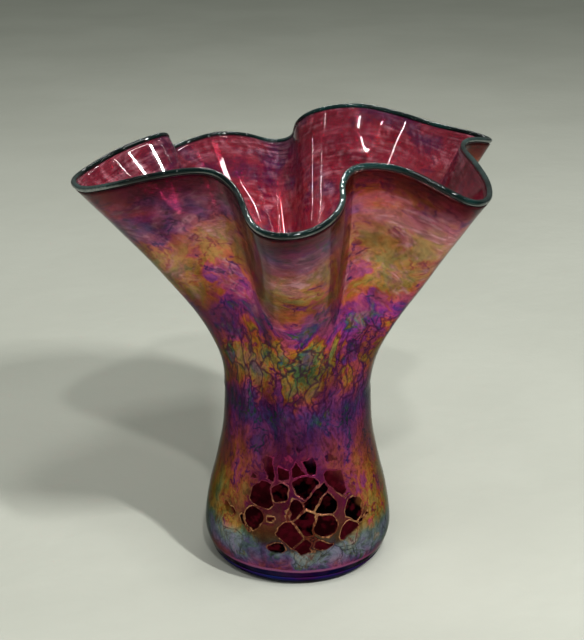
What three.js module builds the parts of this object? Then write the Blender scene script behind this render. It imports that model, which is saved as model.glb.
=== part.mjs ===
// Ruffled art glass vase, built up in the layers that a glassblower gathers: a ruby bubble, a clear
// casing over it, a thick foot under both and a thread of teal glass wrapped round the lip.
// Millimetres, +Z up. The origin is the middle of the ground seat under the foot.

import * as THREE from 'three';

// Overall sizes
const LIP_HEIGHT = 198; // middle of the lip wrap at its highest crest
const LIP_REACH = 99; // furthest that the ruffled lip leans out from the axis
const NECK_HEIGHT = 85; // where the round body ends and the flare begins
const NECK_RADIUS = 33.8; // outside of the casing at the neck
const BULB_RADIUS = 44.3; // outside of the casing at its widest, low on the body
const BULB_HEIGHT = 15; // height of that widest ring
const SEAT_RADIUS = 34; // ground flat that the vase stands on

// Walls
const FOOT_THICKNESS = 5;
const HEEL_TUCK = 2.8; // the foot's upper edge lies this far inside the bulb
const CASING_FLOOR = 3;
const CASING_WALL_BODY = 2.2;
const CASING_WALL_LIP = 1;
const RUBY_FLOOR = 4;
const RUBY_WALL_BODY = 2.6;
const RUBY_WALL_LIP = 1;
const LIP_WRAP_DIAMETER = 2.6;
const SEAM_GAP = 0.3; // clearance between one layer of glass and the next
const INNER_CORNER = 14; // width of the rounded corner between the floor and the wall

// How the flare opens
const FLARE_BEND = 0.38; // small leaves the neck sharply, large leaves it slowly
const FLARE_LEAN = 2; // the flare sags this far towards +X at half its height

// Fineness of the facets
const SEGMENTS = 64; // around the vase
const BODY_ROWS = 7;
const FLARE_ROWS = 10;
const WRAP_SIDES = 8;

// The lip seen from above, counterclockwise from the tip of the left lobe: X and Y of each point on
// a lip that reaches 99 mm, and how far the point dips under the highest crest.
const DRAWN_REACH = 99;
const RUFFLE = [
  [-99, 1, 18], [-92, -15, 17.5], [-78, -29, 12], [-61, -38, 6],
  [-44, -43.5, 2], [-33, -50, 1.5], [-24.5, -61, 6], [-20, -75, 12.5],
  [-14.5, -86.5, 15], [-5, -91, 15.5], [5, -86, 15], [13, -77, 12.5],
  [17.5, -64, 9], [17.5, -51, 5.5], [22, -41.5, 1.5], [35, -42, 0.5],
  [47, -46, 3], [60, -50, 9], [70, -52, 13.5], [77.5, -44, 14],
  [79, -28, 11], [76, -8, 7.5], [73, 9, 5.5], [76.5, 23.5, 5],
  [84, 32, 6.5], [90, 40, 9], [82, 50.5, 8], [66, 62, 6.5],
  [48.5, 72, 3], [30, 76.5, 0], [11, 79, 2.5], [0.5, 85, 9.5],
  [-2.5, 95, 20], [-13.5, 99.5, 23], [-26, 93.5, 18.5], [-41, 87, 16.5],
  [-56, 82.5, 20], [-64, 70, 20], [-61.5, 46, 7.5], [-69, 38, 7.5],
  [-82, 31, 11.5], [-94, 17, 16],
];

const GLASS = {
  foot: { color: 0x3a2452, roughness: 0.12, metalness: 0 },
  casing: { color: 0x9a3f7c, roughness: 0.1, metalness: 0.3 },
  ruby: { color: 0xa02a4c, roughness: 0.08, metalness: 0 },
  lip: { color: 0x2c5350, roughness: 0.08, metalness: 0 },
};

const mix = THREE.MathUtils.lerp;

// Middle line of the lip wrap, in steps of equal length
function lipLine() {
  const scale = LIP_REACH / DRAWN_REACH;
  const corners = RUFFLE.map(
    ([x, y, dip]) => new THREE.Vector3(x * scale, y * scale, LIP_HEIGHT - dip),
  );
  const curve = new THREE.CatmullRomCurve3(corners, true, 'catmullrom', 0.5);
  curve.arcLengthDivisions = 2000;
  return curve.getSpacedPoints(SEGMENTS).slice(0, SEGMENTS);
}

// Equal steps round the axis, turned so that each one lies under the lip point it leads to
function spokeAngles(lip) {
  const step = (2 * Math.PI) / SEGMENTS;
  const sum = new THREE.Vector2();
  lip.forEach((point, i) => {
    const turn = Math.atan2(point.y, point.x) - i * step;
    sum.add(new THREE.Vector2(Math.cos(turn), Math.sin(turn)));
  });
  return lip.map((_, i) => sum.angle() + i * step);
}

// A surface is a list of rings from the bottom up. Its first ring is gathered in one point.
function ring(radius, z, angles) {
  return angles.map((a) => new THREE.Vector3(radius * Math.cos(a), radius * Math.sin(a), z));
}

// Outside of the casing between the foot and the neck, as radius and height
function bodyProfile() {
  const at = (narrowing, rise) => new THREE.Vector2(
    mix(BULB_RADIUS, NECK_RADIUS, narrowing),
    mix(BULB_HEIGHT, NECK_HEIGHT, rise),
  );
  return new THREE.SplineCurve([
    new THREE.Vector2(BULB_RADIUS - HEEL_TUCK, FOOT_THICKNESS + SEAM_GAP),
    at(0, 0),
    at(0.22, 0.25),
    at(0.58, 0.47),
    at(0.9, 0.72),
    at(1, 1),
  ]);
}

// A branch of a hyperbola: upright at the neck, nearly straight by the lip, from 0 to 1
function flareSpread(rise) {
  const branch = (t) => Math.hypot(FLARE_BEND, t) - FLARE_BEND;
  return branch(rise) / branch(1);
}

// The seam is the outside of the ruby gather: a round-bottomed body, then the flare to the lip.
function seamSurface(lip, angles) {
  const wall = CASING_WALL_BODY + SEAM_GAP;
  const floor = FOOT_THICKNESS + CASING_FLOOR + 2 * SEAM_GAP;
  const profile = bodyProfile();
  const lowest = profile.getPoint(2 / BODY_ROWS);
  const corner = new THREE.QuadraticBezierCurve(
    new THREE.Vector2(BULB_RADIUS - wall - INNER_CORNER, floor),
    new THREE.Vector2(BULB_RADIUS - wall, floor),
    new THREE.Vector2(lowest.x - wall, lowest.y),
  );
  const rows = [ring(0, floor, angles)];
  corner.getPoints(3).forEach((p) => rows.push(ring(p.x, p.y, angles)));
  for (let i = 3; i < BODY_ROWS; i += 1) {
    const p = profile.getPoint(i / BODY_ROWS);
    rows.push(ring(p.x - wall, p.y, angles));
  }
  const neck = ring(NECK_RADIUS - wall, NECK_HEIGHT, angles);
  const wrapReach = LIP_WRAP_DIAMETER / 2 + SEAM_GAP;
  for (let k = 0; k <= FLARE_ROWS; k += 1) {
    rows.push(neck.map((start, i) => {
      const end = lip[i];
      const rise = (k / FLARE_ROWS) * (1 - wrapReach / start.distanceTo(end));
      const spread = flareSpread(rise);
      return new THREE.Vector3(
        mix(start.x, end.x, spread) + FLARE_LEAN * Math.sin(Math.PI * rise),
        mix(start.y, end.y, spread),
        mix(start.z, end.z, rise),
      );
    }));
  }
  return rows;
}

// Unit vectors that point away from the inside of the vase, one for each point
function outwardNormals(rows) {
  return rows.map((row, k) => row.map((_, i) => {
    if (k === 0) return new THREE.Vector3(0, 0, -1);
    const next = row[(i + 1) % SEGMENTS];
    const last = row[(i + SEGMENTS - 1) % SEGMENTS];
    const along = new THREE.Vector3().subVectors(next, last);
    const above = rows[Math.min(k + 1, rows.length - 1)][i];
    const up = new THREE.Vector3().subVectors(above, rows[k - 1][i]);
    return along.cross(up).normalize();
  }));
}

// The surface moved outwards by a distance given for each row
function moved(rows, normals, distance) {
  return rows.map((row, k) => row.map((p, i) => p.clone().addScaledVector(normals[k][i], distance(k))));
}

// Share of the way up the flare at a row of the seam, 0 on the body
function flareShare(rows, k) {
  return Math.max(0, k - (rows.length - 1 - FLARE_ROWS)) / FLARE_ROWS;
}

// Outside of the casing: a flat underside on the foot, the body's own profile, then over the flare
function casingOutside(seam, normals, angles) {
  const profile = bodyProfile();
  const rows = [ring(0, FOOT_THICKNESS + SEAM_GAP, angles)];
  for (let i = 0; i < BODY_ROWS; i += 1) {
    const p = profile.getPoint(i / BODY_ROWS);
    rows.push(ring(p.x, p.y, angles));
  }
  const wall = (k) => SEAM_GAP + mix(CASING_WALL_BODY, CASING_WALL_LIP, flareShare(seam, k));
  const flare = moved(seam, normals, wall).slice(-FLARE_ROWS - 1);
  return rows.concat(flare);
}

// Inside of the ruby gather, thick at the floor and thin at the lip
function rubyInside(seam, normals) {
  const body = (k) => mix(RUBY_FLOOR, RUBY_WALL_BODY, Math.min(1, k / 4));
  const wall = (k) => mix(body(k), RUBY_WALL_LIP, flareShare(seam, k));
  return moved(seam, normals, (k) => -wall(k));
}

// Collects points and triangles of one closed solid
class Solid {
  constructor() {
    this.points = [];
    this.triangles = [];
  }

  addPoint(p) {
    this.points.push(p.x, p.y, p.z);
    return this.points.length / 3 - 1;
  }

  addRing(row) {
    return row.map((p) => this.addPoint(p));
  }

  // Fan from a centre to a ring, facing the way that a counterclockwise ring turns
  addFan(centre, row) {
    row.forEach((a, i) => this.triangles.push(centre, a, row[(i + 1) % row.length]));
  }

  // Band between two rings, facing outwards where the second one is above the first
  addBand(lower, upper) {
    lower.forEach((a, i) => {
      const j = (i + 1) % lower.length;
      this.triangles.push(a, lower[j], upper[j], a, upper[j], upper[i]);
    });
  }

  // Bowl of rings with its first ring in one point, facing outwards and down
  addBowl(rows) {
    const centre = this.addPoint(rows[0][0]);
    const rings = rows.slice(1).map((row) => this.addRing(row));
    this.addFan(centre, [...rings[0]].reverse());
    for (let k = 1; k < rings.length; k += 1) this.addBand(rings[k - 1], rings[k]);
    return rings.at(-1);
  }

  // The same bowl facing inwards and up
  addLining(rows) {
    const start = this.triangles.length;
    const top = this.addBowl(rows);
    const added = this.triangles.splice(start);
    for (let i = 0; i < added.length; i += 3) this.triangles.push(added[i], added[i + 2], added[i + 1]);
    return top;
  }

  toMesh(name, glass) {
    const geometry = new THREE.BufferGeometry();
    geometry.setAttribute('position', new THREE.Float32BufferAttribute(this.points, 3));
    geometry.setIndex(this.triangles);
    geometry.computeVertexNormals();
    const mesh = new THREE.Mesh(geometry, new THREE.MeshStandardMaterial(glass));
    mesh.name = name;
    return mesh;
  }
}

// Two bowls, one inside the other, joined along their top rings
function cup(name, outside, inside, glass) {
  const solid = new Solid();
  const outerTop = solid.addBowl(outside);
  const innerTop = solid.addLining(inside);
  solid.addBand(outerTop, innerTop);
  return solid.toMesh(name, glass);
}

// Solid pad with a rounded heel and a ground flat under it
function footGather(angles) {
  const edge = BULB_RADIUS - HEEL_TUCK;
  const heel = new THREE.QuadraticBezierCurve(
    new THREE.Vector2(SEAT_RADIUS, 0),
    new THREE.Vector2(mix(SEAT_RADIUS, edge, 0.75), 0),
    new THREE.Vector2(edge, FOOT_THICKNESS),
  );
  const rows = [ring(0, 0, angles)];
  heel.getPoints(4).forEach((p) => rows.push(ring(p.x, p.y, angles)));
  const solid = new Solid();
  const top = solid.addBowl(rows);
  solid.addFan(solid.addPoint(new THREE.Vector3(0, 0, FOOT_THICKNESS)), top);
  return solid.toMesh('foot_gather', GLASS.foot);
}

// Round thread of glass along the lip
function lipWrap(lip, seam, normals) {
  const radius = LIP_WRAP_DIAMETER / 2;
  const solid = new Solid();
  const hoops = lip.map((centre, i) => {
    const out = normals.at(-1)[i];
    const up = new THREE.Vector3().subVectors(centre, seam.at(-1)[i]).normalize();
    return solid.addRing(Array.from({ length: WRAP_SIDES }, (_, s) => {
      const a = (2 * Math.PI * s) / WRAP_SIDES;
      const side = out.clone().multiplyScalar(Math.cos(a)).addScaledVector(up, Math.sin(a));
      return centre.clone().addScaledVector(side.normalize(), radius);
    }));
  });
  hoops.forEach((hoop, i) => solid.addBand(hoops[(i + 1) % hoops.length], hoop));
  return solid.toMesh('lip_wrap', GLASS.lip);
}

function vase() {
  const lip = lipLine();
  const angles = spokeAngles(lip);
  const seam = seamSurface(lip, angles);
  const normals = outwardNormals(seam);
  const group = new THREE.Group();
  group.add(footGather(angles));
  group.add(cup(
    'outer_casing',
    casingOutside(seam, normals, angles),
    moved(seam, normals, () => SEAM_GAP),
    GLASS.casing,
  ));
  group.add(cup('ruby_gather', seam, rubyInside(seam, normals), GLASS.ruby));
  group.add(lipWrap(lip, seam, normals));
  return group;
}

export default vase();
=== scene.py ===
"""Ruffled art glass vase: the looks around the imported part.

The four layers of glass are made again as fine meshes from the same few sizes, with a coordinate that
flows with the glass, so that the lustre is drawn out where the bubble was blown out. Shapes are worked
out in millimetres and become metres when a mesh is built. Materials, lamps and camera are in metres.
"""

import math

import bpy
import numpy as np
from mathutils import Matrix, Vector


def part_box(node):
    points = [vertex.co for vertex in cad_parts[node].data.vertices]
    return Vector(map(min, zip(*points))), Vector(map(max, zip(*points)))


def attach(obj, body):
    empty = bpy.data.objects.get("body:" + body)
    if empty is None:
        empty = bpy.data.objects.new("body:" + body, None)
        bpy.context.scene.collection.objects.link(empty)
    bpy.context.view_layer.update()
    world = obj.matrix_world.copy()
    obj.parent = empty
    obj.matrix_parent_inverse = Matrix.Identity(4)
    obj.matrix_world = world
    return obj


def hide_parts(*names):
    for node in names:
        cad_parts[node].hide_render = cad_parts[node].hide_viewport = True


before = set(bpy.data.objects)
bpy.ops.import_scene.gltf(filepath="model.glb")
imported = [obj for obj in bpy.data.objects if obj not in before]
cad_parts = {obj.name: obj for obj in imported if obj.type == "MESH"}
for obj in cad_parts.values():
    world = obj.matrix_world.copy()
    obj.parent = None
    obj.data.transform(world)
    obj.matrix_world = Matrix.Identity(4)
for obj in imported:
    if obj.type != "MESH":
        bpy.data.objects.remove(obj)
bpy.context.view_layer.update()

MM = 0.001

# Sizes of the glass, in millimetres
NECK_HEIGHT = 85.0
NECK_RADIUS = 33.8
BULB_HEIGHT = 15.0
SEAT_RADIUS = 34.0
FOOT_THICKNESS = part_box("foot_gather")[1].z / MM
BULB_RADIUS = 44.3
HEEL_TUCK = 2.8
CASING_FLOOR = 3.0
CASING_WALL_BODY, CASING_WALL_LIP = 2.2, 1.0
RUBY_FLOOR, RUBY_WALL_BODY, RUBY_WALL_LIP = 4.0, 2.6, 1.0
WRAP_RADIUS = 1.3
LIP_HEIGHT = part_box("lip_wrap")[1].z / MM - WRAP_RADIUS
SEAM_GAP = 0.3
FUSED_GAP = 0.06
WRAP_OVERLAP = 0.2   # the walls reach this far into the lip wrap
INNER_CORNER = 14.0
FLARE_BEND = 0.38
FLARE_LEAN = 2.0

# Fineness
AROUND = 360
BODY_ROWS = 44
FLARE_ROWS = 70
CORNER_ROWS = 10
WRAP_SIDES = 14
HEEL_ROWS = 12
FLOOR_RING = 12.0    # radius of the extra ring on the inner floor
CORNER_SHARE = 0.3   # share of the body's rows that lie below the top of the inner corner
FADE_ROWS = 6        # rows over which the ripple fades out at the floor and at the lip

# The lip from above: X, Y and dip under the highest crest, counterclockwise from the left lobe's tip
RUFFLE = [
    (-99, 1, 18), (-92, -15, 17.5), (-78, -29, 12), (-61, -38, 6),
    (-44, -43.5, 2), (-33, -50, 1.5), (-24.5, -61, 6), (-20, -75, 12.5),
    (-14.5, -86.5, 15), (-5, -91, 15.5), (5, -86, 15), (13, -77, 12.5),
    (17.5, -64, 9), (17.5, -51, 5.5), (22, -41.5, 1.5), (35, -42, 0.5),
    (47, -46, 3), (60, -50, 9), (70, -52, 13.5), (77.5, -44, 14),
    (79, -28, 11), (76, -8, 7.5), (73, 9, 5.5), (76.5, 23.5, 5),
    (84, 32, 6.5), (90, 40, 9), (82, 50.5, 8), (66, 62, 6.5),
    (48.5, 72, 3), (30, 76.5, 0), (11, 79, 2.5), (0.5, 85, 9.5),
    (-2.5, 95, 20), (-13.5, 99.5, 23), (-26, 93.5, 18.5), (-41, 87, 16.5),
    (-56, 82.5, 20), (-64, 70, 20), (-61.5, 46, 7.5), (-69, 38, 7.5),
    (-82, 31, 11.5), (-94, 17, 16),
]


# ---------------------------------------------------------------- shape of the glass

def catmull(points, closed, count):
    """Points along a uniform Catmull-Rom curve, with its parameter in equal steps."""
    p = np.asarray(points, float)
    if closed:
        spans = len(p)
        t = np.linspace(0, spans, count, endpoint=False)
        i = np.floor(t).astype(int)
        a, b, c, d = (p[(i + k) % spans] for k in (-1, 0, 1, 2))
    else:
        spans = len(p) - 1
        t = np.linspace(0, spans, count)
        i = np.minimum(np.floor(t).astype(int), spans - 1)
        p = np.vstack([p[:1], p, p[-1:]])
        a, b, c, d = (p[i + k] for k in (0, 1, 2, 3))
    w = (t - i)[:, None]
    return 0.5 * (2 * b + (c - a) * w + (2 * a - 5 * b + 4 * c - d) * w**2
                  + (3 * b - a - 3 * c + d) * w**3)


def bezier(a, b, c, count):
    """Points of a quadratic Bezier curve."""
    t = np.linspace(0, 1, count)[:, None]
    return (1 - t) ** 2 * np.array(a) + 2 * t * (1 - t) * np.array(b) + t**2 * np.array(c)


def even(points, count):
    """The same closed curve in steps of equal length."""
    ends = np.vstack([points, points[:1]])
    length = np.r_[0, np.cumsum(np.linalg.norm(np.diff(ends, axis=0), axis=1))]
    at = np.linspace(0, length[-1], count, endpoint=False)
    return np.stack([np.interp(at, length, ends[:, k]) for k in range(3)], 1)


def softened(points, rounds):
    for _ in range(rounds):
        points = (np.roll(points, 1, 0) + 2 * points + np.roll(points, -1, 0)) / 4
    return points


def lip_line():
    """Middle line of the lip wrap."""
    drawn = np.array([(x, y, LIP_HEIGHT - dip) for x, y, dip in RUFFLE])
    return softened(even(catmull(drawn, True, 4000), AROUND), 6)


def spoke_angles(lip):
    """Equal steps round the axis, turned so that each one lies under its point of the lip."""
    steps = 2 * np.pi * np.arange(AROUND) / AROUND
    turn = np.arctan2(lip[:, 1], lip[:, 0]) - steps
    return steps + math.atan2(np.sin(turn).sum(), np.cos(turn).sum())


def ring(radius, z, angles):
    return np.stack([radius * np.cos(angles), radius * np.sin(angles), np.full(len(angles), z)], 1)


def mix(a, b, t):
    return a + (b - a) * t


def body_profile(count):
    """Outside of the casing between the foot and the neck, as radius and height."""
    def at(narrowing, rise):
        return mix(BULB_RADIUS, NECK_RADIUS, narrowing), mix(BULB_HEIGHT, NECK_HEIGHT, rise)
    heel = (BULB_RADIUS - HEEL_TUCK, FOOT_THICKNESS + FUSED_GAP)
    return catmull([heel, at(0, 0), at(0.22, 0.25), at(0.58, 0.47), at(0.9, 0.72), at(1, 1)],
                   False, count)


def flare_spread(rise):
    """A branch of a hyperbola: upright at the neck, nearly straight by the lip, from 0 to 1."""
    def branch(t):
        return np.hypot(FLARE_BEND, t) - FLARE_BEND
    return branch(rise) / branch(1)


def flare(neck, lip):
    """Rings from the neck up to the lip wrap, each point on its own line of flow."""
    stop = 1 - (WRAP_RADIUS - WRAP_OVERLAP) / np.linalg.norm(lip - neck, axis=1)
    rows = []
    for k in range(FLARE_ROWS + 1):
        rise = k / FLARE_ROWS * stop
        spread = flare_spread(rise)[:, None]
        row = mix(neck, lip, np.hstack([spread, spread, rise[:, None]]))
        row[:, 0] += FLARE_LEAN * np.sin(np.pi * rise)
        rows.append(row)
    return rows


def seam_surface(lip, angles):
    """Outside of the ruby gather: a round-bottomed body, then the flare."""
    wall = CASING_WALL_BODY + SEAM_GAP
    floor = FOOT_THICKNESS + CASING_FLOOR + 2 * SEAM_GAP
    profile = body_profile(BODY_ROWS)
    start = int(BODY_ROWS * CORNER_SHARE)
    low = profile[start]
    corner = bezier((BULB_RADIUS - wall - INNER_CORNER, floor), (BULB_RADIUS - wall, floor),
                    (low[0] - wall, low[1]), CORNER_ROWS)
    rows = [ring(0.0, floor, angles), ring(FLOOR_RING, floor, angles)]
    rows += [ring(r, z, angles) for r, z in corner]
    rows += [ring(r - wall, z, angles) for r, z in profile[start + 1:-1]]
    return np.array(rows + flare(ring(NECK_RADIUS - wall, NECK_HEIGHT, angles), lip))


def normals_of(rows):
    """Unit vectors that point away from the inside of the vase."""
    along = np.roll(rows, -1, 1) - np.roll(rows, 1, 1)
    up = np.empty_like(rows)
    up[1:-1] = rows[2:] - rows[:-2]
    up[-1] = rows[-1] - rows[-2]
    up[0] = rows[1] - rows[0]
    out = np.cross(along, up)
    out[0] = (0, 0, -1)
    return out / np.linalg.norm(out, axis=2, keepdims=True)


def flare_share(rows):
    """0 on the body, then the share of the way up the flare, for each row."""
    k = np.arange(len(rows)) - (len(rows) - 1 - FLARE_ROWS)
    return np.clip(k / FLARE_ROWS, 0, 1)


def flow_of(rows, angles):
    """Where each point lay on the straight bubble before it was opened out: a tube of one radius,
    with the length along the glass as its height. Also that length, as a level that is the
    neck's own height at the neck."""
    step = np.linalg.norm(np.diff(rows, axis=0), axis=2).mean(1)
    height = np.r_[0, np.cumsum(step)]
    height += NECK_HEIGHT - height[len(rows) - 1 - FLARE_ROWS]
    flow = np.array([ring(NECK_RADIUS, h, angles) for h in height])
    flow[0, :, :2] = 0
    return flow, np.repeat(height[:, None], len(angles), 1)


# ---------------------------------------------------------------- meshes

class Draft:
    """Collects rings of points and the faces between them."""

    def __init__(self):
        self.points, self.flow, self.level, self.skin, self.faces = [], [], [], [], []

    def add(self, row, flow, level, skin):
        start = len(self.points)
        self.points += list(row)
        self.flow += list(flow)
        self.level += list(level)
        self.skin += [skin] * len(row)
        return list(range(start, start + len(row)))

    def band(self, low, high, flip=False):
        """Faces outwards where the second ring is above the first, unless it is flipped."""
        n = len(low)
        for i in range(n):
            j = (i + 1) % n
            face = (low[i], low[j], high[j], high[i])
            self.faces.append(face[::-1] if flip else face)

    def fan(self, centre, row, flip=False):
        """Faces down, unless it is flipped."""
        n = len(row)
        for i in range(n):
            face = (centre, row[(i + 1) % n], row[i])
            self.faces.append(face[::-1] if flip else face)

    def bowl(self, rows, flow, level, skin, flip=False):
        centre = self.add(rows[0][:1], flow[0][:1], level[0][:1], skin)[0]
        rings = [self.add(r, f, v, skin) for r, f, v in zip(rows[1:], flow[1:], level[1:])]
        self.fan(centre, rings[0], flip)
        for low, high in zip(rings, rings[1:]):
            self.band(low, high, flip)
        return rings[-1]

    def build(self, name, material):
        mesh = bpy.data.meshes.new(name)
        mesh.from_pydata((np.array(self.points) * MM).tolist(), [], self.faces)
        flow = mesh.attributes.new("flow", "FLOAT_VECTOR", "POINT")
        flow.data.foreach_set("vector", (np.array(self.flow) * MM).ravel())
        for key, values in (("level", np.array(self.level) * MM), ("skin", np.array(self.skin))):
            mesh.attributes.new(key, "FLOAT", "POINT").data.foreach_set("value", values)
        mesh.shade_smooth()
        mesh.materials.append(material)
        piece = bpy.data.objects.new(name, mesh)
        bpy.context.collection.objects.link(piece)
        return piece


def cup(name, outside, inside, angles, material):
    """Two bowls, one inside the other, joined along their top rings."""
    draft = Draft()
    tops = []
    for rows, skin in ((outside, 1.0), (inside, 0.0)):
        flow, level = flow_of(rows, angles)
        tops.append(draft.bowl(rows, flow, level, skin, flip=skin == 0.0))
    draft.band(*tops)
    return draft.build(name, material)


def ripple(flow):
    """Slight unevenness left by the tools, in millimetres, for each point on the bubble."""
    around = np.arctan2(flow[..., 1], flow[..., 0])
    up = flow[..., 2]
    return (0.16 * np.sin(3 * around + up / 17) + 0.11 * np.sin(5 * around - up / 9 + 1.3)
            + 0.07 * np.sin(11 * around + up / 23 + 0.6) + 0.06 * np.sin(2 * around + up / 4.7 + 2.1))


def lip_bead(name, lip, seam, normals, material):
    """Round thread along the lip, a little thicker in some places than in others."""
    draft = Draft()
    turn = 2 * np.pi * np.arange(AROUND) / AROUND
    radius = WRAP_RADIUS * (1 + 0.05 * np.sin(5 * turn + 0.5) + 0.03 * np.sin(13 * turn))
    up = lip - seam[-1]
    up /= np.linalg.norm(up, axis=1, keepdims=True)
    out = normals[-1]
    hoops = []
    for s in range(WRAP_SIDES):
        a = 2 * math.pi * s / WRAP_SIDES
        side = out * math.cos(a) + up * math.sin(a)
        side /= np.linalg.norm(side, axis=1, keepdims=True)
        hoops.append(draft.add(lip + side * radius[:, None], lip, np.full(AROUND, 0.2), 1.0))
    for s in range(WRAP_SIDES):
        draft.band(hoops[(s + 1) % WRAP_SIDES], hoops[s])
    return draft.build(name, material)


def foot_pad(name, angles, material):
    """Solid gather under the body: flat to stand on, with a rounded heel."""
    edge = BULB_RADIUS - HEEL_TUCK
    heel = bezier((SEAT_RADIUS, 0), (mix(SEAT_RADIUS, edge, 0.75), 0), (edge, FOOT_THICKNESS), HEEL_ROWS)
    flat = [ring(0, 0, angles), ring(SEAT_RADIUS * 0.5, 0, angles)]
    rows = np.array(flat + [ring(r, z, angles) for r, z in heel])
    level = np.zeros(rows.shape[:2])
    draft = Draft()
    top = draft.bowl(rows, rows, level, 1.0)
    middle = draft.add([(0, 0, FOOT_THICKNESS)], [(0, 0, 0)], [0.0], 1.0)[0]
    draft.fan(middle, top, flip=True)
    return draft.build(name, material)


# ---------------------------------------------------------------- materials

def colour(code):
    """Linear colour of a #rrggbb code."""
    channel = [int(code[i:i + 2], 16) / 255 for i in (1, 3, 5)]
    return [c / 12.92 if c <= 0.04045 else ((c + 0.055) / 1.055) ** 2.4 for c in channel] + [1.0]


class Shader:
    """A material with short ways to add its nodes. Lengths are metres."""

    def __init__(self, name):
        self.material = bpy.data.materials.new(name)
        self.material.use_nodes = True
        self.tree = self.material.node_tree
        self.surface = self.tree.nodes["Principled BSDF"]

    def node(self, kind, **settings):
        made = self.tree.nodes.new(kind)
        for key, value in settings.items():
            setattr(made, key, value)
        return made

    def put(self, socket, value):
        if isinstance(value, bpy.types.NodeSocket):
            self.tree.links.new(value, socket)
        elif isinstance(value, str):
            socket.default_value = colour(value)
        else:
            socket.default_value = value

    def set(self, **inputs):
        for key, value in inputs.items():
            self.put(self.surface.inputs[key.replace("_", " ")], value)

    def attribute(self, name, output):
        return self.node("ShaderNodeAttribute", attribute_name=name).outputs[output]

    def math(self, operation, *values, clamp=False):
        made = self.node("ShaderNodeMath", operation=operation, use_clamp=clamp)
        for socket, value in zip(made.inputs, values):
            self.put(socket, value)
        return made.outputs[0]

    def add(self, a, b):
        return self.math("ADD", a, b)

    def times(self, a, b):
        return self.math("MULTIPLY", a, b)

    def vector(self, operation, a, b):
        made = self.node("ShaderNodeVectorMath", operation=operation)
        self.put(made.inputs[0], a)
        self.put(made.inputs[1], b)
        return made.outputs[0]

    def scaled(self, vector, x, y, z, shift=(0.0, 0.0, 0.0), turn=(0.0, 0.0, 0.0)):
        made = self.node("ShaderNodeMapping")
        self.put(made.inputs["Vector"], vector)
        made.inputs["Scale"].default_value = (x, y, z)
        made.inputs["Location"].default_value = shift
        made.inputs["Rotation"].default_value = turn
        return made.outputs[0]

    def noise(self, vector, scale, detail=3.0, roughness=0.55, distortion=0.0):
        made = self.node("ShaderNodeTexNoise")
        self.put(made.inputs["Vector"], vector)
        for key, value in (("Scale", scale), ("Detail", detail), ("Roughness", roughness),
                           ("Distortion", distortion)):
            made.inputs[key].default_value = value
        return made

    def cells(self, vector, scale, feature, randomness=1.0):
        made = self.node("ShaderNodeTexVoronoi", feature=feature)
        self.put(made.inputs["Vector"], vector)
        made.inputs["Scale"].default_value = scale
        made.inputs["Randomness"].default_value = randomness
        return made

    def step(self, value, low, high, start=0.0, end=1.0):
        """Smooth change from start to end as the value goes from low to high."""
        made = self.node("ShaderNodeMapRange", interpolation_type="SMOOTHSTEP")
        for socket, v in zip(made.inputs, (value, low, high, start, end)):
            self.put(socket, v)
        return made.outputs[0]

    def ramp(self, value, stops):
        made = self.node("ShaderNodeValToRGB")
        self.put(made.inputs["Fac"], value)
        elements = made.color_ramp.elements
        while len(elements) < len(stops):
            elements.new(1.0)
        for element, (place, code) in zip(elements, stops):
            element.position = place
            element.color = colour(code)
        return made.outputs["Color"]

    def level_ramp(self, value, stops):
        """Number that follows the stops; they may lie anywhere between 0 and 1."""
        made = self.node("ShaderNodeFloatCurve")
        self.put(made.inputs["Value"], value)
        curve = made.mapping.curves[0]
        while len(curve.points) < len(stops):
            curve.points.new(1.0, 1.0)
        for point, (place, height) in zip(curve.points, stops):
            point.location = (place, height)
            point.handle_type = "VECTOR"
        made.mapping.update()
        return made.outputs[0]

    def to_grey(self, value):
        made = self.node("ShaderNodeCombineColor")
        for socket in made.inputs[:3]:
            self.put(socket, value)
        return made.outputs[0]

    def split_colour(self, value):
        made = self.node("ShaderNodeSeparateColor")
        self.put(made.inputs[0], value)
        return made.outputs

    def blend(self, share, a, b, kind="MIX"):
        made = self.node("ShaderNodeMix", data_type="RGBA", blend_type=kind)
        self.put(made.inputs["Factor"], share)
        self.put(made.inputs[6], a)
        self.put(made.inputs[7], b)
        return made.outputs[2]

    def between(self, share, a, b):
        made = self.node("ShaderNodeMix", data_type="FLOAT")
        for place, value in ((0, share), (2, a), (3, b)):
            self.put(made.inputs[place], value)
        return made.outputs[0]

    def warped(self, vector, scale, reach, shift=(0.0, 0.0, 0.0)):
        """The vector moved about by a noise, by up to half of reach each way."""
        moved = self.noise(self.scaled(vector, 1, 1, 1, shift), scale, 2.0).outputs["Color"]
        centred = self.vector("SUBTRACT", moved, (0.5, 0.5, 0.5))
        return self.vector("ADD", vector, self.vector("MULTIPLY", centred, (reach, reach, reach)))

    def bump(self, height, distance):
        made = self.node("ShaderNodeBump")
        made.inputs["Distance"].default_value = distance
        self.put(made.inputs["Height"], height)
        self.put(self.surface.inputs["Normal"], made.outputs[0])


# ---------------------------------------------------------------- lustre

TOP_LEVEL = 0.2   # length along the glass at the lip, which the colour zones are given as shares of

# Colours of a thickening lustre film, in the order in which they follow each other
FILM = ("#a08a40", "#bc8428", "#c8602e", "#c04860", "#9c3484", "#702e88", "#503c86", "#486a72", "#5c7c4c",
        "#a08a40")
FILM_STEPS = len(FILM) - 1
_, AMBER, ORANGE, ROSE, MAGENTA, VIOLET, INDIGO, TEAL = (k / FILM_STEPS for k in range(8))
OLIVE = 1.0

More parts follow.
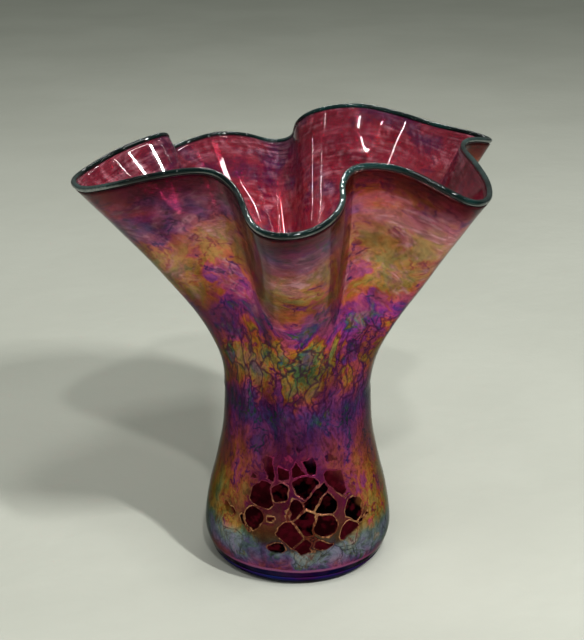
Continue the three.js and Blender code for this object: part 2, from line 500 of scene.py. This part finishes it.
# Film thickness by millimetres along the glass; above OLIVE the colours come round a second time
# The indigo up to 7 mm and the rose at 8 mm paint the heel: shade where it turns under, and a highlight
# on its turn.
FILM_ZONES = (
    (0, INDIGO), (7, INDIGO), (8, ROSE), (9.5, MAGENTA), (13, VIOLET), (17, TEAL), (21, TEAL),
    (24, OLIVE), (27, 1 + AMBER), (40, 1 + ORANGE), (54, 1 + ROSE), (66, 1 + MAGENTA), (82, 1 + VIOLET),
    (91, 1 + ROSE), (97, 1 + AMBER), (102, OLIVE), (113, OLIVE), (119, 1 + ORANGE), (125, 1 + MAGENTA),
    (135, 1 + MAGENTA), (140, 1 + ROSE), (146, 1 + ORANGE), (154, 1 + AMBER), (170, 1 + AMBER),
    (175, 1 + ORANGE), (179, 1 + MAGENTA), (187, 1 + VIOLET), (193, 1 + MAGENTA), (200, 1 + ROSE),
)

# By millimetres along the glass too: light sent back, rosy haze, grey haze, and share of metal
STRENGTH = ((0, 0.3), (12, 0.62), (20, 0.66), (30, 0.54), (50, 0.40), (66, 0.30), (84, 0.33), (104, 0.52),
            (122, 0.68), (140, 0.94), (165, 1.08), (185, 1.0), (193, 0.52), (200, 0.28))
BLUSH = ((0, 0.5), (9, 0.3), (14, 0.0), (24, 0.1), (80, 0.3), (130, 0.6), (190, 0.7), (200, 0.5))
DULLNESS = ((0, 0.2), (8, 0.1), (13, 0.75), (21, 0.75), (27, 0.1), (90, 0.1), (130, 0.0), (170, 0.25),
            (188, 0.35), (194, 0.0), (200, 0.0))
METAL = ((0, 0.85), (60, 0.75), (120, 0.7), (155, 0.55), (180, 0.36), (200, 0.22))

# The window at the front, in metres: its middle along the glass, and its half width and half heights
WINDOW_MIDDLE = 0.037
WINDOW_ACROSS = 0.0225
WINDOW_BELOW = 0.0165
WINDOW_ABOVE = 0.027
WINDOW_CELLS = 112    # cells per metre
NECK_CELLS = 250


def along_glass(stops):
    """Stops of a ramp whose places are given in millimetres along the glass."""
    return [(place * MM / TOP_LEVEL, value) for place, value in stops]


class Ground:
    """Places on the glass, and the noises that several parts of the lustre share."""

    def __init__(self, s):
        self.flow = s.attribute("flow", "Vector")
        self.level = s.attribute("level", "Fac")
        axes = s.node("ShaderNodeSeparateXYZ")
        s.put(axes.inputs[0], self.flow)
        self.right, self.back = axes.outputs[0], axes.outputs[1]
        self.sideways = s.times(self.right, 1 / (NECK_RADIUS * MM))
        self.drift = s.warped(s.warped(self.flow, 40, 0.012), 150, 0.004)

        # The zones' edges wander, most of all in the flare
        self.wander = s.noise(s.scaled(self.flow, 1, 1, 0.5), 45, 3.0, 0.6).outputs["Fac"]
        shift = s.times(s.add(self.wander, -0.5), s.step(self.level, 0.005, 0.16, 0.004, 0.065))
        self.place = s.add(self.level, shift)
        self.share = s.math("DIVIDE", self.place, TOP_LEVEL)
        self.height = s.math("DIVIDE", self.level, TOP_LEVEL)
        self.neck = s.times(s.step(self.place, 0.072, 0.092), s.step(self.place, 0.134, 0.114))

        drift = self.drift
        self.blotch = s.noise(s.scaled(drift, 1, 1, 0.6), 105, 4.0, 0.6, 0.3).outputs["Fac"]
        self.cloud = s.noise(s.scaled(drift, 1, 1, 0.5), 70, 5.0, 0.65).outputs["Fac"]
        self.fleck = s.noise(s.scaled(drift, 1, 1, 0.5), 700, 4.0, 0.7).outputs["Fac"]
        self.streak = streaks(s, drift, self.level)
        self.filament = filaments(s, drift, self.blotch)


def streaks(s, drift, level):
    """Fine streaks: upright on the body, uneven in the flare, level near the lip."""
    upright = s.noise(s.scaled(drift, 1, 1, 0.13), 360, 5.0, 0.7).outputs["Fac"]
    uneven = s.noise(s.scaled(drift, 1, 1, 0.8), 250, 5.0, 0.7).outputs["Fac"]
    flat = s.noise(s.scaled(drift, 0.5, 0.5, 2.4), 230, 5.0, 0.66).outputs["Fac"]
    lower = s.between(s.step(level, 0.085, 0.135), upright, uneven)
    return s.between(s.step(level, 0.155, 0.180), lower, flat)


def filaments(s, drift, blotch):
    """Thin dark lines round some of the patches."""
    contour = s.noise(s.scaled(drift, 1, 1, 0.7, (0.1, 0.2, 0.5)), 88, 4.0, 0.6, 0.4).outputs["Fac"]
    line = s.step(s.math("ABSOLUTE", s.add(contour, -0.5)), 0.004, 0.022, 1.0, 0.0)
    return s.times(line, s.step(blotch, 0.36, 0.56))


def neck_cells(s, g):
    """Cells drawn out upwards at the neck: a random number for each, and the veins between them."""
    tall = s.scaled(s.warped(s.warped(g.flow, 80, 0.008), 300, 0.002), 1, 1, 0.27)
    cell = s.cells(tall, NECK_CELLS, "F1", 0.9)
    edge = s.cells(tall, NECK_CELLS, "DISTANCE_TO_EDGE", 0.9).outputs["Distance"]
    return s.split_colour(cell.outputs["Color"])[0], s.step(edge, 0.01, 0.11, 1.0, 0.0)


def film_colour(s, g, cell_shade):
    """Colour of the film by its thickness: zones along the glass, then patches, streaks and cells."""
    zones = [(where, value / 2) for where, value in along_glass(FILM_ZONES)]
    film = s.times(s.level_ramp(g.share, zones), 2.0)

    patch = s.add(s.step(g.blotch, 0.52, 0.57, 0.0, 0.16), s.step(g.blotch, 0.58, 0.61, 0.0, 0.12))
    patch = s.add(patch, s.step(g.blotch, 0.46, 0.40, 0.0, -0.12))
    wine = s.times(s.step(g.level, 0.040, 0.052), s.step(g.level, 0.096, 0.080))
    calm = s.math("MAXIMUM", wine, s.times(s.step(g.level, 0.150, 0.170), 0.9))
    film = s.add(film, s.times(patch, s.between(calm, 1.0, 0.5)))

    streak_reach = s.between(g.neck, s.step(g.level, 0.12, 0.14, 0.42, 0.27), 0.2)
    film = s.add(film, s.times(s.add(g.streak, -0.5), streak_reach))
    film = s.add(film, s.times(g.filament, 0.22))

    # The sides of the bulb are more golden than its front, and the right of the flare is warmer
    bulb = s.times(s.step(g.level, 0.02, 0.03), s.step(g.level, 0.085, 0.06))
    golden = s.times(s.times(g.sideways, g.sideways), bulb)
    film = s.add(film, s.times(golden, -0.14))
    warmer = s.times(s.step(g.sideways, 0.0, 0.4, 0.0, -0.22), s.step(g.place, 0.171, 0.179))
    film = s.add(film, warmer)

    film = s.add(film, s.times(g.neck, s.step(cell_shade, 0.3, 0.8, -0.11, 0.12)))
    film = s.add(film, s.times(g.neck, s.step(g.sideways, 0.05, 0.45, 0.0, 0.2)))
    return s.ramp(s.math("FRACT", film), [(k / FILM_STEPS, code) for k, code in enumerate(FILM)])


def film_strength(s, g):
    """How much light the film sends back: thin and thick places differ."""
    strength = s.level_ramp(g.height, along_glass(STRENGTH))
    strength = s.times(strength, s.step(g.cloud, 0.32, 0.68, 0.52, 1.6))
    speckle = s.step(g.fleck, 0.36, 0.56, s.step(g.level, 0.11, 0.14, 0.60, 0.78), 1.15)
    strength = s.times(strength, speckle)
    return s.times(strength, s.step(g.filament, 0.0, 1.0, 1.0, 0.55))


def hazed(s, g, body):
    """Rosy and grey haze over the film, pale swirls of the lining, and red glass under the lip."""
    rosy = s.noise(s.scaled(g.drift, 1, 1, 0.45, (0.3, 0.0, 0.4)), 120, 5.0, 0.7, 0.5).outputs["Fac"]
    blush = s.times(s.step(rosy, 0.44, 0.62), s.level_ramp(g.height, along_glass(BLUSH)))
    body = s.blend(blush, body, "#b85070")
    dull = s.level_ramp(g.share, along_glass(DULLNESS))
    body = s.blend(s.times(dull, s.step(g.cloud, 0.35, 0.6, 0.4, 1.0)), body, "#848894")

    curled = s.scaled(s.warped(g.flow, 35, 0.05, (0.5, 0.2, 0.1)), 0.45, 0.45, 1.7)
    curl = s.step(s.noise(curled, 420, 4.0, 0.6).outputs["Fac"], 0.50, 0.64)
    curl = s.times(curl, s.step(rosy, 0.46, 0.58))
    curl = s.times(curl, s.times(s.step(g.level, 0.125, 0.150), s.step(g.level, 0.195, 0.188)))
    body = s.blend(s.times(curl, 0.6), body, "#d8a4b4")
    return s.blend(s.times(s.step(g.level, 0.187, 0.197), 0.8), body, "#8c1430")


class Window:
    """Opening in the lustre at the front: dark cells, some round and some cornered, with gold threads
    round them. Its lower edge is sharp, and its cells shrink away towards the top."""

    def __init__(self, s, g):
        self.facing = s.step(g.back, 0.0, -0.005)
        across = s.math("POWER", s.times(g.right, 1 / WINDOW_ACROSS), 2.0)
        narrowing = s.step(g.level, 0.03, 0.04, 1 / WINDOW_BELOW, 1 / WINDOW_ABOVE)
        along = s.math("POWER", s.times(s.add(g.level, -WINDOW_MIDDLE), narrowing), 2.0)
        uneven = s.times(s.add(s.noise(g.flow, 120, 3.0).outputs["Fac"], -0.5), 0.5)
        radius = s.add(s.math("SQRT", s.add(across, along)), uneven)
        clear = s.step(radius, 1.22, s.step(g.level, 0.025, 0.05, 1.05, 0.6))
        self.open = s.times(clear, self.facing)

        bubble = s.scaled(s.warped(s.warped(g.flow, 90, 0.006), 260, 0.0012), 1, 1, 0.8)
        cell = s.cells(bubble, WINDOW_CELLS, "F1")
        self.web = s.cells(bubble, WINDOW_CELLS, "DISTANCE_TO_EDGE").outputs["Distance"]
        self.shade = s.split_colour(cell.outputs["Color"])
        reach = s.step(self.shade[0], 0.2, 0.8, 0.56, 0.92)
        rounded = s.math("MINIMUM", self.web, s.math("SUBTRACT", reach, cell.outputs["Distance"]))
        shrunk = s.math("SUBTRACT", rounded, s.times(s.math("SUBTRACT", 1.0, self.open), 0.2))
        outline = s.step(s.math("ABSOLUTE", s.add(shrunk, -0.02)), 0.010, 0.030, 1.0, 0.0)
        broken = s.times(s.step(self.open, 0.1, 0.4), s.step(g.fleck, 0.36, 0.52, 0.35, 1.0))
        self.thread = s.times(outline, broken)
        self.hole = s.times(s.step(shrunk, 0.03, 0.06), s.step(self.open, 0.0, 0.1))

    def over(self, s, g, body):
        """The body's colour with the window in it."""
        deep = s.blend(s.step(self.shade[1], 0.35, 0.65), "#040001", "#34060e")
        glow = s.step(s.noise(g.flow, 260, 2.0).outputs["Fac"], 0.45, 0.65, 0.0, 0.7)
        deep = s.blend(glow, deep, "#4c0a18")
        # The threads turn a lighter gold along the streaks: partly their own tone, partly painted glints.
        gold = s.blend(s.step(g.streak, 0.44, 0.60), "#6a2c20", "#b8845c")
        between_cells = s.blend(s.step(g.level, 0.022, 0.045), "#34140c", "#5c0e38")
        body = s.blend(s.times(self.open, 0.8), body, between_cells)
        body = s.blend(s.times(self.hole, s.step(self.open, 0.1, 0.7, 0.55, 1.0)), body, deep)
        return s.blend(self.thread, body, s.blend(s.step(g.level, 0.056, 0.040), "#84244c", gold))


def cracked(s, g, window, body):
    """Thin dark cracks below the window."""
    low = s.times(s.step(g.level, 0.008, 0.013), s.step(g.level, 0.032, 0.022))
    line = s.times(s.step(window.web, 0.004, 0.020, 1.0, 0.0), low)
    crack = s.times(line, s.times(window.facing, s.step(g.cloud, 0.44, 0.52)))
    return s.blend(s.times(crack, 0.7), body, "#181018")


def painted_heel_highlight_and_shade(s, g, body):
    """Painted highlight along the turn of the heel, above a dark violet edge of painted shade where the
    glass turns under.
    """
    heel = s.add(g.level, s.times(s.add(g.wander, -0.5), 0.002))
    # Painted shade: the dark violet band below the turn stands for the shaded underside, in two tones
    # that vary at random.
    dark = s.blend(s.step(g.blotch, 0.4, 0.6), "#10123a", "#2a0c3a")
    body = s.blend(s.step(heel, 0.0080, 0.0065), body, dark)
    # Painted highlight: a pink line along the turn of the heel.
    line = s.times(s.step(heel, 0.0066, 0.0074), s.step(heel, 0.0090, 0.0080))
    return s.blend(s.times(line, 0.8), body, "#a05a86")


def lustre_glass():
    """Iridised casing: a film whose thickness drifts, so that its colours run into each other."""
    s = Shader("iridised_lustre_glass")
    skin = s.attribute("skin", "Fac")
    g = Ground(s)
    cell_shade, vein = neck_cells(s, g)
    window = Window(s, g)

    body = hazed(s, g, film_colour(s, g, cell_shade))
    body = s.blend(1.0, body, s.to_grey(film_strength(s, g)), "MULTIPLY")
    body = s.blend(s.times(s.times(vein, g.neck), 0.75), body, "#340c34")
    body = painted_heel_highlight_and_shade(s, g, cracked(s, g, window, window.over(s, g, body)))
    s.set(Base_Color=s.blend(skin, "#f6ecea", body))

    metal = s.times(s.level_ramp(g.height, along_glass(METAL)), s.step(g.cloud, 0.3, 0.65, 0.75, 1.15))
    s.set(Metallic=s.times(s.between(window.hole, metal, 0.95), skin))
    s.set(Transmission_Weight=s.between(skin, 1.0, s.step(g.level, 0.11, 0.17, 0.15, 0.8)))
    s.set(Roughness=s.between(skin, 0.02, s.step(g.streak, 0.3, 0.7, 0.09, 0.22)))
    s.set(IOR=1.3, Specular_Tint="#98a094")
    lumps = s.add(s.times(s.noise(g.flow, 75, 2.0).outputs["Fac"], 0.7),
                  s.times(s.times(window.open, window.thread), 0.4))
    s.bump(lumps, 0.0003)
    return s.material


# ---------------------------------------------------------------- other materials

def ruby_glass():
    """Cranberry lining with brushed wisps of white in it."""
    s = Shader("brushed_ruby_glass")
    flow = s.attribute("flow", "Vector")
    level = s.attribute("level", "Fac")
    skin = s.attribute("skin", "Fac")
    swirl = s.warped(s.warped(flow, 26, 0.016), 90, 0.003, (0.3, 0.1, 0.2))
    upright = s.noise(s.scaled(swirl, 1.0, 1.0, 0.22), 480, 6.0, 0.66).outputs["Fac"]
    slanted = s.scaled(s.warped(swirl, 22, 0.02), 0.4, 0.4, 1.5, turn=(0.0, 0.35, 0.0))
    slanting = s.noise(slanted, 420, 6.0, 0.66).outputs["Fac"]
    strokes = s.between(s.step(level, 0.145, 0.175), upright, slanting)
    brush = s.noise(s.scaled(swirl, 1.0, 1.0, 0.12), 900, 3.0, 0.6).outputs["Fac"]
    veil = s.noise(s.scaled(swirl, 1.0, 1.0, 0.5), 85, 4.0, 0.6).outputs["Fac"]
    wisp = s.times(s.step(s.add(s.times(strokes, 0.6), s.times(brush, 0.4)), 0.45, 0.62),
                   s.step(veil, 0.38, 0.60, 0.2, 0.75))
    depth = s.noise(s.scaled(swirl, 1, 1, 0.45, (0.2, 0.4, 0.1)), 90, 5.0, 0.65).outputs["Fac"]
    tone = s.ramp(depth, [(0.32, "#700826"), (0.42, "#a41838"), (0.50, "#c83a54"), (0.55, "#942450"),
                          (0.66, "#54246c")])
    tone = s.blend(s.step(level, 0.15, 0.19, 0.0, 0.4), tone, "#480a28")
    tone = s.blend(s.times(wisp, s.step(level, 0.15, 0.18, 0.6, 0.42)), tone, "#f0bcc8")
    s.set(Base_Color=s.blend(skin, tone, s.blend(wisp, "#f08098", "#f8d0dc")))
    s.set(Transmission_Weight=s.between(skin, s.between(wisp, 0.80, 0.50), s.between(wisp, 0.90, 0.55)))
    s.set(Roughness=s.between(skin, s.between(wisp, 0.03, 0.10), 0.02))
    s.set(IOR=1.45)
    s.bump(s.noise(flow, 60, 2.0).outputs["Fac"], 0.00015)
    return s.material


def lip_glass():
    """Dark sea-green thread."""
    s = Shader("sea_green_glass")
    flow = s.attribute("flow", "Vector")
    shade = s.noise(flow, 35, 3.0).outputs["Fac"]
    s.set(Base_Color=s.ramp(shade, [(0.35, "#010606"), (0.5, "#041614"), (0.65, "#103230")]))
    s.set(Transmission_Weight=s.step(shade, 0.3, 0.7, 0.0, 0.2))
    s.set(Roughness=s.step(s.noise(flow, 120, 2.0).outputs["Fac"], 0.3, 0.7, 0.01, 0.04))
    s.set(IOR=1.33)
    s.bump(s.noise(flow, 160, 2.0).outputs["Fac"], 0.0006)
    return s.material


def foot_glass():
    """Dark violet pad, iridised at the heel."""
    s = Shader("violet_foot_glass")
    flow = s.attribute("flow", "Vector")
    shade = s.noise(flow, 55, 4.0).outputs["Fac"]
    s.set(Base_Color=s.ramp(shade, [(0.35, "#1c2a68"), (0.5, "#3a2066"), (0.65, "#5c2048")]))
    s.set(Metallic=s.step(shade, 0.3, 0.7, 0.8, 0.95), Specular_Tint="#50508a")
    s.set(Roughness=s.step(shade, 0.3, 0.7, 0.1, 0.25))
    s.set(IOR=1.3)
    return s.material


def floor_cloth():
    """Pale matt cloth, almost plain."""
    s = Shader("pale_floor")
    place = s.node("ShaderNodeTexCoord").outputs["Object"]
    cloud = s.noise(place, 5, 4.0).outputs["Fac"]
    s.set(Base_Color=s.blend(s.step(cloud, 0.3, 0.7), "#b4b6aa", "#babcb0"), Roughness=0.9)
    s.put(s.surface.inputs["Specular IOR Level"], 0.2)
    s.bump(s.noise(place, 60, 4.0).outputs["Fac"], 0.0006)
    return s.material


# ---------------------------------------------------------------- build

lip = lip_line()
angles = spoke_angles(lip)
seam = seam_surface(lip, angles)
normals = normals_of(seam)
share = flare_share(seam)
row = np.arange(len(seam))
offsets = ripple(flow_of(seam, angles)[0]) * np.minimum(1, row / FADE_ROWS)[:, None]
fade = np.clip((len(seam) - 1 - row) / FADE_ROWS, 0, 1)[:, None]
seam = seam + normals * (offsets * fade)[..., None]

body = np.array([ring(0, FOOT_THICKNESS + FUSED_GAP, angles)]
                + [ring(r, z, angles) for r, z in body_profile(BODY_ROWS)[:-1]])
casing_wall = SEAM_GAP + mix(CASING_WALL_BODY, CASING_WALL_LIP, share)
over = (seam + normals * casing_wall[:, None, None])[-FLARE_ROWS - 1:]
casing_out = np.vstack([body, over])
casing_in = seam + normals * FUSED_GAP
floor_share = np.clip(row / (CORNER_ROWS + 2), 0, 1)
ruby_wall = mix(mix(RUBY_FLOOR, RUBY_WALL_BODY, floor_share), RUBY_WALL_LIP, share)
ruby_in = seam - normals * ruby_wall[:, None, None]

lustre = cup("lustre_casing", casing_out, casing_in, angles, lustre_glass())
ruby = cup("ruby_lining", seam, ruby_in, angles, ruby_glass())
bead = lip_bead("lip_bead", lip, seam, normals, lip_glass())
foot = foot_pad("foot_pad", angles, foot_glass())

for piece, node, slot in ((lustre, "outer_casing", "lustre_glass"), (ruby, "ruby_gather", "ruby_glass"),
                          (bead, "lip_wrap", "lip_glass"), (foot, "foot_gather", "foot_glass")):
    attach(piece, "root")
    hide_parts(node)

# ---------------------------------------------------------------- floor, light and camera

FLOOR_REACH = 6.0
FLOOR_DROP = 0.0003   # keeps the floor clear of the seat
HEART = Vector((0, 0, 0.12))   # what every lamp points at

# Lamps: degrees to the right of the viewer's own direction, degrees up, distance, width, height, watts
LAMPS = {
    "window": (30, 70, 1.3, 0.2, 0.2, 4),
    "key": (8, 47, 1.5, 0.06, 0.06, 6),
    "side_key": (44, 44, 1.5, 0.05, 0.2, 18),
    "crest_strip": (180, 52, 1.3, 0.9, 0.015, 3.5),
}

# Narrow lamps that draw thin lines of light on the folds: degrees right and degrees up
GLINTS = ((-15, 48), (-46, 53), (-52, 37), (-78, 26), (76, 47), (84, 57))
GLINT_SHAPE = (1.3, 0.006, 0.26, 0.5)   # distance, width, height, watts

ROOM_STRENGTH = 0.52
LENS, SENSOR = 75.94, 36.0
CAMERA_PLACE = (-0.00267, -0.57734, 0.33094)
CAMERA_DOWN = 20.51   # degrees under the horizon


def stage_floor():
    mesh = bpy.data.meshes.new("floor")
    side = FLOOR_REACH
    mesh.from_pydata([(-side, -side, 0), (side, -side, 0), (side, side, 0), (-side, side, 0)], [],
                     [(0, 1, 2, 3)])
    floor = bpy.data.objects.new("floor", mesh)
    bpy.context.collection.objects.link(floor)
    mesh.materials.append(floor_cloth())
    floor.location.z = -FLOOR_DROP


def soft_box(name, to_right, up, distance, width, height, watts):
    """Lamp that is seen from the vase in this direction, and points at it."""
    light = bpy.data.lights.new(name, "AREA")
    light.shape = "RECTANGLE"
    light.size, light.size_y = width, height
    light.energy = watts
    turn, rise = math.radians(to_right), math.radians(up)
    ray = Vector((math.sin(turn) * math.cos(rise), -math.cos(turn) * math.cos(rise), math.sin(rise)))
    place = HEART + ray * distance
    lamp = bpy.data.objects.new(name, light)
    lamp.location = place
    lamp.rotation_euler = (HEART - place).to_track_quat("-Z", "Y").to_euler()
    bpy.context.collection.objects.link(lamp)


def room_glow():
    """Even light from above that falls off towards the horizon."""
    world = bpy.data.worlds.new("room")
    world.use_nodes = True
    tree = world.node_tree
    back = tree.nodes["Background"]
    place = tree.nodes.new("ShaderNodeTexCoord")
    axes = tree.nodes.new("ShaderNodeSeparateXYZ")
    tree.links.new(place.outputs["Generated"], axes.inputs[0])
    ramp = tree.nodes.new("ShaderNodeValToRGB")
    ramp.color_ramp.elements[0].position = 0.05
    ramp.color_ramp.elements[0].color = (0.22, 0.235, 0.22, 1)
    ramp.color_ramp.elements[1].position = 0.75
    ramp.color_ramp.elements[1].color = (0.42, 0.45, 0.42, 1)
    tree.links.new(axes.outputs[2], ramp.inputs[0])
    tree.links.new(ramp.outputs[0], back.inputs["Color"])
    back.inputs["Strength"].default_value = ROOM_STRENGTH
    bpy.context.scene.world = world


def view_camera():
    data = bpy.data.cameras.new("camera")
    data.lens = LENS
    data.sensor_width = SENSOR
    camera = bpy.data.objects.new("camera", data)
    camera.location = CAMERA_PLACE
    camera.rotation_euler = (math.radians(90 - CAMERA_DOWN), 0, 0)
    bpy.context.collection.objects.link(camera)
    bpy.context.scene.camera = camera


stage_floor()
room_glow()
for name, lamp in LAMPS.items():
    soft_box(name, *lamp)
for number, direction in enumerate(GLINTS):
    soft_box(f"glint_{number}", *direction, *GLINT_SHAPE)
view_camera()
bpy.context.scene.view_settings.view_transform = "Standard"
